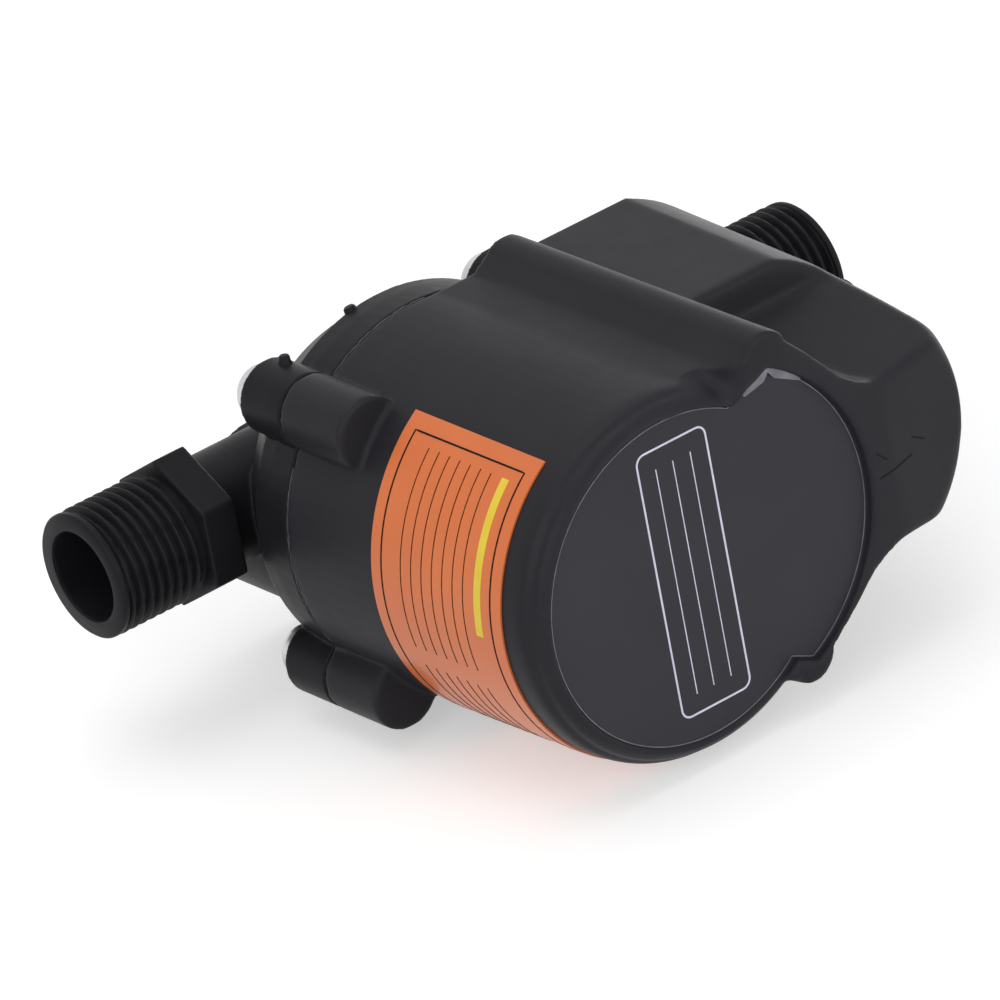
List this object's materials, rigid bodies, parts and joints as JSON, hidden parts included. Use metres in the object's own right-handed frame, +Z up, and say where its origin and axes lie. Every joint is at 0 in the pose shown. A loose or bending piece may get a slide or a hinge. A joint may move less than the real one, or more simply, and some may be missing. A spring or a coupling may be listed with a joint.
{
  "type": "shower pump",
  "caption": "In-line canned-rotor booster pump with a moulded motor housing, a control box on its outlet side and threaded ports.",
  "frame": {"origin": "centre of the inlet port's mouth", "axes": "+X along the ports from inlet to outlet, +Y along the motor axis from the labelled face to the pump cover, +Z up as the pump lies in the picture"},
  "size_m": [0.1336, 0.0985, 0.0654],
  "materials": {
    "housing_plastic": "fine moulded grain",
    "cover_plastic": "fine moulded grain",
    "face_film": "satin film",
    "side_film": "gloss film",
    "stainless": "polished",
    "seal_rubber": "matte",
    "can_plastic": "natural",
    "lamination": "dull",
    "insulator_nylon": "natural",
    "copper": "enamelled wire",
    "ceramic_white": "ground ceramic",
    "holder_plastic": "moulded",
    "board_green": "solder mask",
    "sleeve_blue": "shrink sleeve",
    "chip_black": "moulded",
    "terminal_white": "moulded",
    "gland_nylon": "moulded",
    "float_white": "moulded",
    "float_blue": "moulded",
    "ferrite": "sintered",
    "rotor_plastic": "moulded",
    "graphite": "machined",
    "impeller_plastic": "moulded"
  },
  "bodies": {
    "pump": {"motor_housing": "housing_plastic", "face_label": "face_film", "side_label": "side_film", "pump_cover": "cover_plastic", "cover_screws": "stainless", "cover_seal": "seal_rubber", "rotor_can": "can_plastic", "stator_core": "lamination", "stator_insulators": "insulator_nylon", "stator_coils": "copper", "rotor_shaft": "ceramic_white", "shaft_holder": "holder_plastic", "front_thrust_washer": "ceramic_white", "rear_thrust_washer": "ceramic_white", "hall_board": "board_green", "control_board": "board_green", "capacitors": "sleeve_blue", "choke_coil": "copper", "power_transistors": "chip_black", "control_chip": "chip_black", "terminal_block": "terminal_white", "flow_sensor": "chip_black", "box_lid": "housing_plastic", "lid_screws": "stainless", "cable_gland": "gland_nylon", "float_cage": "float_white"},
    "rotor": {"rotor_magnet": "ferrite", "rotor_core": "rotor_plastic", "front_bush": "graphite", "rear_bush": "graphite", "impeller": "impeller_plastic", "impeller_shroud": "impeller_plastic"},
    "float": {"flow_float": "float_blue", "float_magnet": "ferrite"}
  },
  "joints": [
    {"name": "rotor_spin", "type": "hinge", "parent": "pump", "child": "rotor", "pos_m": [0.0523, 0, 0], "axis": [0, 1, 0], "continuous": true},
    {"name": "float_slide", "type": "slide", "parent": "pump", "child": "float", "axis": [1, 0, 0], "range_m": [0, 0.0045]}
  ]
}
